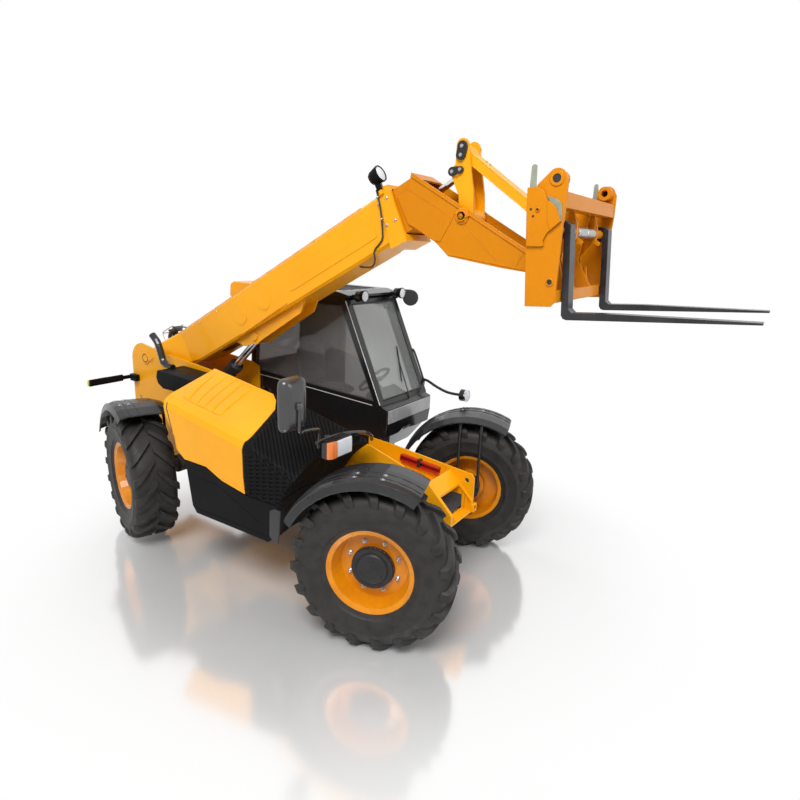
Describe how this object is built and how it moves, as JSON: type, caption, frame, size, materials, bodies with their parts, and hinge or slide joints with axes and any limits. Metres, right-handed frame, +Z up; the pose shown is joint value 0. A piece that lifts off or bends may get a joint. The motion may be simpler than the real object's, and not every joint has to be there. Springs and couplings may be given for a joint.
{
  "type": "telehandler",
  "caption": "Four-wheel-steer telescopic handler with pallet forks, offset cab, side engine pod and working boom, carriage, steering, bonnet and door.",
  "frame": {"origin": "bottom centre of the bounding box at rest, on the ground the tyres stand on", "axes": "+X to the front (the way the forks point), +Y to the driver's left (cab side), +Z up"},
  "size_m": [6.065, 2.6684, 3.7034],
  "materials": {
    "paint_yellow": "gloss",
    "paint_black": "satin",
    "plastic_black": "satin grained",
    "steel_dark": "satin",
    "chrome_rod": "polished",
    "rubber_hose": "matte",
    "cast_housing": "painted",
    "tyre_rubber": "matte",
    "cab_glass": "tinted",
    "lamp_lens": "clear",
    "paint_red": "gloss",
    "seat_cloth": "woven"
  },
  "bodies": {
    "chassis": {"chassis_frame": "paint_yellow", "boom_tower": "paint_yellow", "safety_strut": "paint_red", "rear_light_bar": "plastic_black", "front_axle": "cast_housing", "rear_axle": "cast_housing", "engine_block": "cast_housing", "engine_skirt": "plastic_black", "engine_grille": "plastic_black", "air_cleaner_box": "plastic_black", "exhaust_pipe": "paint_black", "cab_frame": "paint_black", "cab_roof": "paint_black", "roof_air_unit": "paint_yellow", "cab_cowl": "plastic_black", "windscreen": "cab_glass", "rear_window": "cab_glass", "right_window": "cab_glass", "seat_base": "steel_dark", "seat_cushion": "seat_cloth", "console": "plastic_black", "fuel_tank": "plastic_black", "headlamp_right": "lamp_lens", "headlamp_left": "lamp_lens", "mirror_right": "plastic_black", "mirror_left": "plastic_black"},
    "bonnet_lid": {"bonnet": "paint_yellow"},
    "door": {"cab_door": "paint_black", "door_window": "cab_glass"},
    "boom": {"boom_outer": "paint_yellow", "boom_hoses": "rubber_hose"},
    "boom_extension": {"boom_inner": "paint_yellow"},
    "tilt_ram_barrel": {"tilt_barrel": "steel_dark"},
    "tilt_ram_rod": {"tilt_rod": "chrome_rod"},
    "lever": {"tilt_lever": "paint_yellow"},
    "link": {"tilt_link": "paint_yellow"},
    "carriage": {"fork_carriage": "paint_yellow"},
    "left_fork": {"fork_left": "paint_black"},
    "right_fork": {"fork_right": "paint_black"},
    "lift_ram_barrel": {"lift_barrel": "steel_dark"},
    "lift_ram_rod": {"lift_rod": "chrome_rod"},
    "hub_front_left": {"knuckle_front_left": "steel_dark", "fender_front_left": "plastic_black"},
    "wheel_front_left": {"rim_front_left": "paint_yellow", "tyre_front_left": "tyre_rubber"},
    "hub_front_right": {"knuckle_front_right": "steel_dark", "fender_front_right": "plastic_black"},
    "wheel_front_right": {"rim_front_right": "paint_yellow", "tyre_front_right": "tyre_rubber"},
    "hub_rear_left": {"knuckle_rear_left": "steel_dark", "fender_rear_left": "plastic_black"},
    "wheel_rear_left": {"rim_rear_left": "paint_yellow", "tyre_rear_left": "tyre_rubber"},
    "hub_rear_right": {"knuckle_rear_right": "steel_dark", "fender_rear_right": "plastic_black"},
    "wheel_rear_right": {"rim_rear_right": "paint_yellow", "tyre_rear_right": "tyre_rubber"}
  },
  "joints": [
    {"name": "boom_lift", "type": "hinge", "parent": "chassis", "child": "boom", "pos_m": [-2.73009, 0, 1.62], "axis": [0, -1, 0], "range_deg": [-31.5, 39]},
    {"name": "boom_extend", "type": "slide", "parent": "boom", "child": "boom_extension", "axis": [0.8829, 0, 0.4695], "range_m": [0, 2.2]},
    {"name": "carriage_tilt", "type": "hinge", "parent": "boom_extension", "child": "carriage", "pos_m": [1.65175, 0, 2.83428], "axis": [0, 1, 0], "range_deg": [-30, 80]},
    {"name": "tilt_lever_turn", "type": "hinge", "parent": "boom_extension", "child": "lever", "pos_m": [1.02186, 0, 3.15625], "axis": [0, 1, 0], "range_deg": [-22, 58.5]},
    {"name": "tilt_link_turn", "type": "hinge", "parent": "lever", "child": "link", "pos_m": [0.95974, 0, 3.61816], "axis": [0, 1, 0], "range_deg": [-52.5, 20]},
    {"name": "tilt_ram_swing", "type": "hinge", "parent": "boom_extension", "child": "tilt_ram_barrel", "pos_m": [0.12631, 0, 2.95756], "axis": [0, 1, 0], "range_deg": [-3.6, 9.3]},
    {"name": "tilt_ram_stroke", "type": "slide", "parent": "tilt_ram_barrel", "child": "tilt_ram_rod", "axis": [0.8402, 0, 0.5423], "range_m": [-0.106, 0.28]},
    {"name": "lift_ram_swing", "type": "hinge", "parent": "chassis", "child": "lift_ram_barrel", "pos_m": [-2.51009, 0, 0.822], "axis": [0, -1, 0], "range_deg": [-25, 31]},
    {"name": "lift_ram_stroke", "type": "slide", "parent": "lift_ram_barrel", "child": "lift_ram_rod", "axis": [0.7321, 0, 0.6812], "range_m": [-0.4, 0.5]},
    {"name": "left_fork_slide", "type": "slide", "parent": "carriage", "child": "left_fork", "axis": [0, 1, 0], "range_m": [-0.13, 0.05]},
    {"name": "right_fork_slide", "type": "slide", "parent": "carriage", "child": "right_fork", "axis": [0, -1, 0], "range_m": [-0.13, 0.05]},
    {"name": "bonnet_open", "type": "hinge", "parent": "chassis", "child": "bonnet_lid", "pos_m": [-0.88009, -0.52, 1.67252], "axis": [-0.9876, 0, 0.1572], "range_deg": [0, 55]},
    {"name": "door_open", "type": "hinge", "parent": "chassis", "child": "door", "pos_m": [-1.14009, 1.15, 1.6], "axis": [0, 0, 1], "range_deg": [0, 95]},
    {"name": "steer_front_right", "type": "hinge", "parent": "chassis", "child": "hub_front_right", "pos_m": [0.79491, -0.712, 0.63598], "axis": [0, 0, 1], "range_deg": [-57, 19]},
    {"name": "roll_front_right", "type": "hinge", "parent": "hub_front_right", "child": "wheel_front_right", "pos_m": [0.86751, -0.92285, 0.63598], "axis": [-0.3256, 0.9455, 0], "continuous": true},
    {"name": "steer_front_left", "type": "hinge", "parent": "chassis", "child": "hub_front_left", "pos_m": [0.79491, 0.712, 0.63598], "axis": [0, 0, 1], "range_deg": [-57, 19]},
    {"name": "roll_front_left", "type": "hinge", "parent": "hub_front_left", "child": "wheel_front_left", "pos_m": [0.72231, 0.92285, 0.63598], "axis": [-0.3256, 0.9455, 0], "continuous": true},
    {"name": "steer_rear_left", "type": "hinge", "parent": "chassis", "child": "hub_rear_left", "pos_m": [-1.95509, 0.712, 0.63598], "axis": [0, 0, 1], "range_deg": [-19, 57]},
    {"name": "roll_rear_left", "type": "hinge", "parent": "hub_rear_left", "child": "wheel_rear_left", "pos_m": [-1.88249, 0.92285, 0.63598], "axis": [0.3256, 0.9455, 0], "continuous": true},
    {"name": "steer_rear_right", "type": "hinge", "parent": "chassis", "child": "hub_rear_right", "pos_m": [-1.95509, -0.712, 0.63598], "axis": [0, 0, 1], "range_deg": [-19, 57]},
    {"name": "roll_rear_right", "type": "hinge", "parent": "hub_rear_right", "child": "wheel_rear_right", "pos_m": [-2.02769, -0.92285, 0.63598], "axis": [0.3256, 0.9455, 0], "continuous": true}
  ],
  "couplings": [
    {"joint": "tilt_lever_turn", "follows": "carriage_tilt", "ratio": 0.7263},
    {"joint": "tilt_link_turn", "follows": "carriage_tilt", "ratio": -0.6527},
    {"joint": "tilt_ram_swing", "follows": "carriage_tilt", "ratio": 0.1143},
    {"joint": "tilt_ram_stroke", "follows": "carriage_tilt", "m_per_rad": 0.1988},
    {"joint": "lift_ram_swing", "follows": "boom_lift", "ratio": 0.7664},
    {"joint": "lift_ram_stroke", "follows": "boom_lift", "m_per_rad": 0.7069},
    {"joint": "steer_front_left", "follows": "steer_front_right", "ratio": 1},
    {"joint": "steer_rear_left", "follows": "steer_front_right", "ratio": -1},
    {"joint": "steer_rear_right", "follows": "steer_front_right", "ratio": -1}
  ]
}
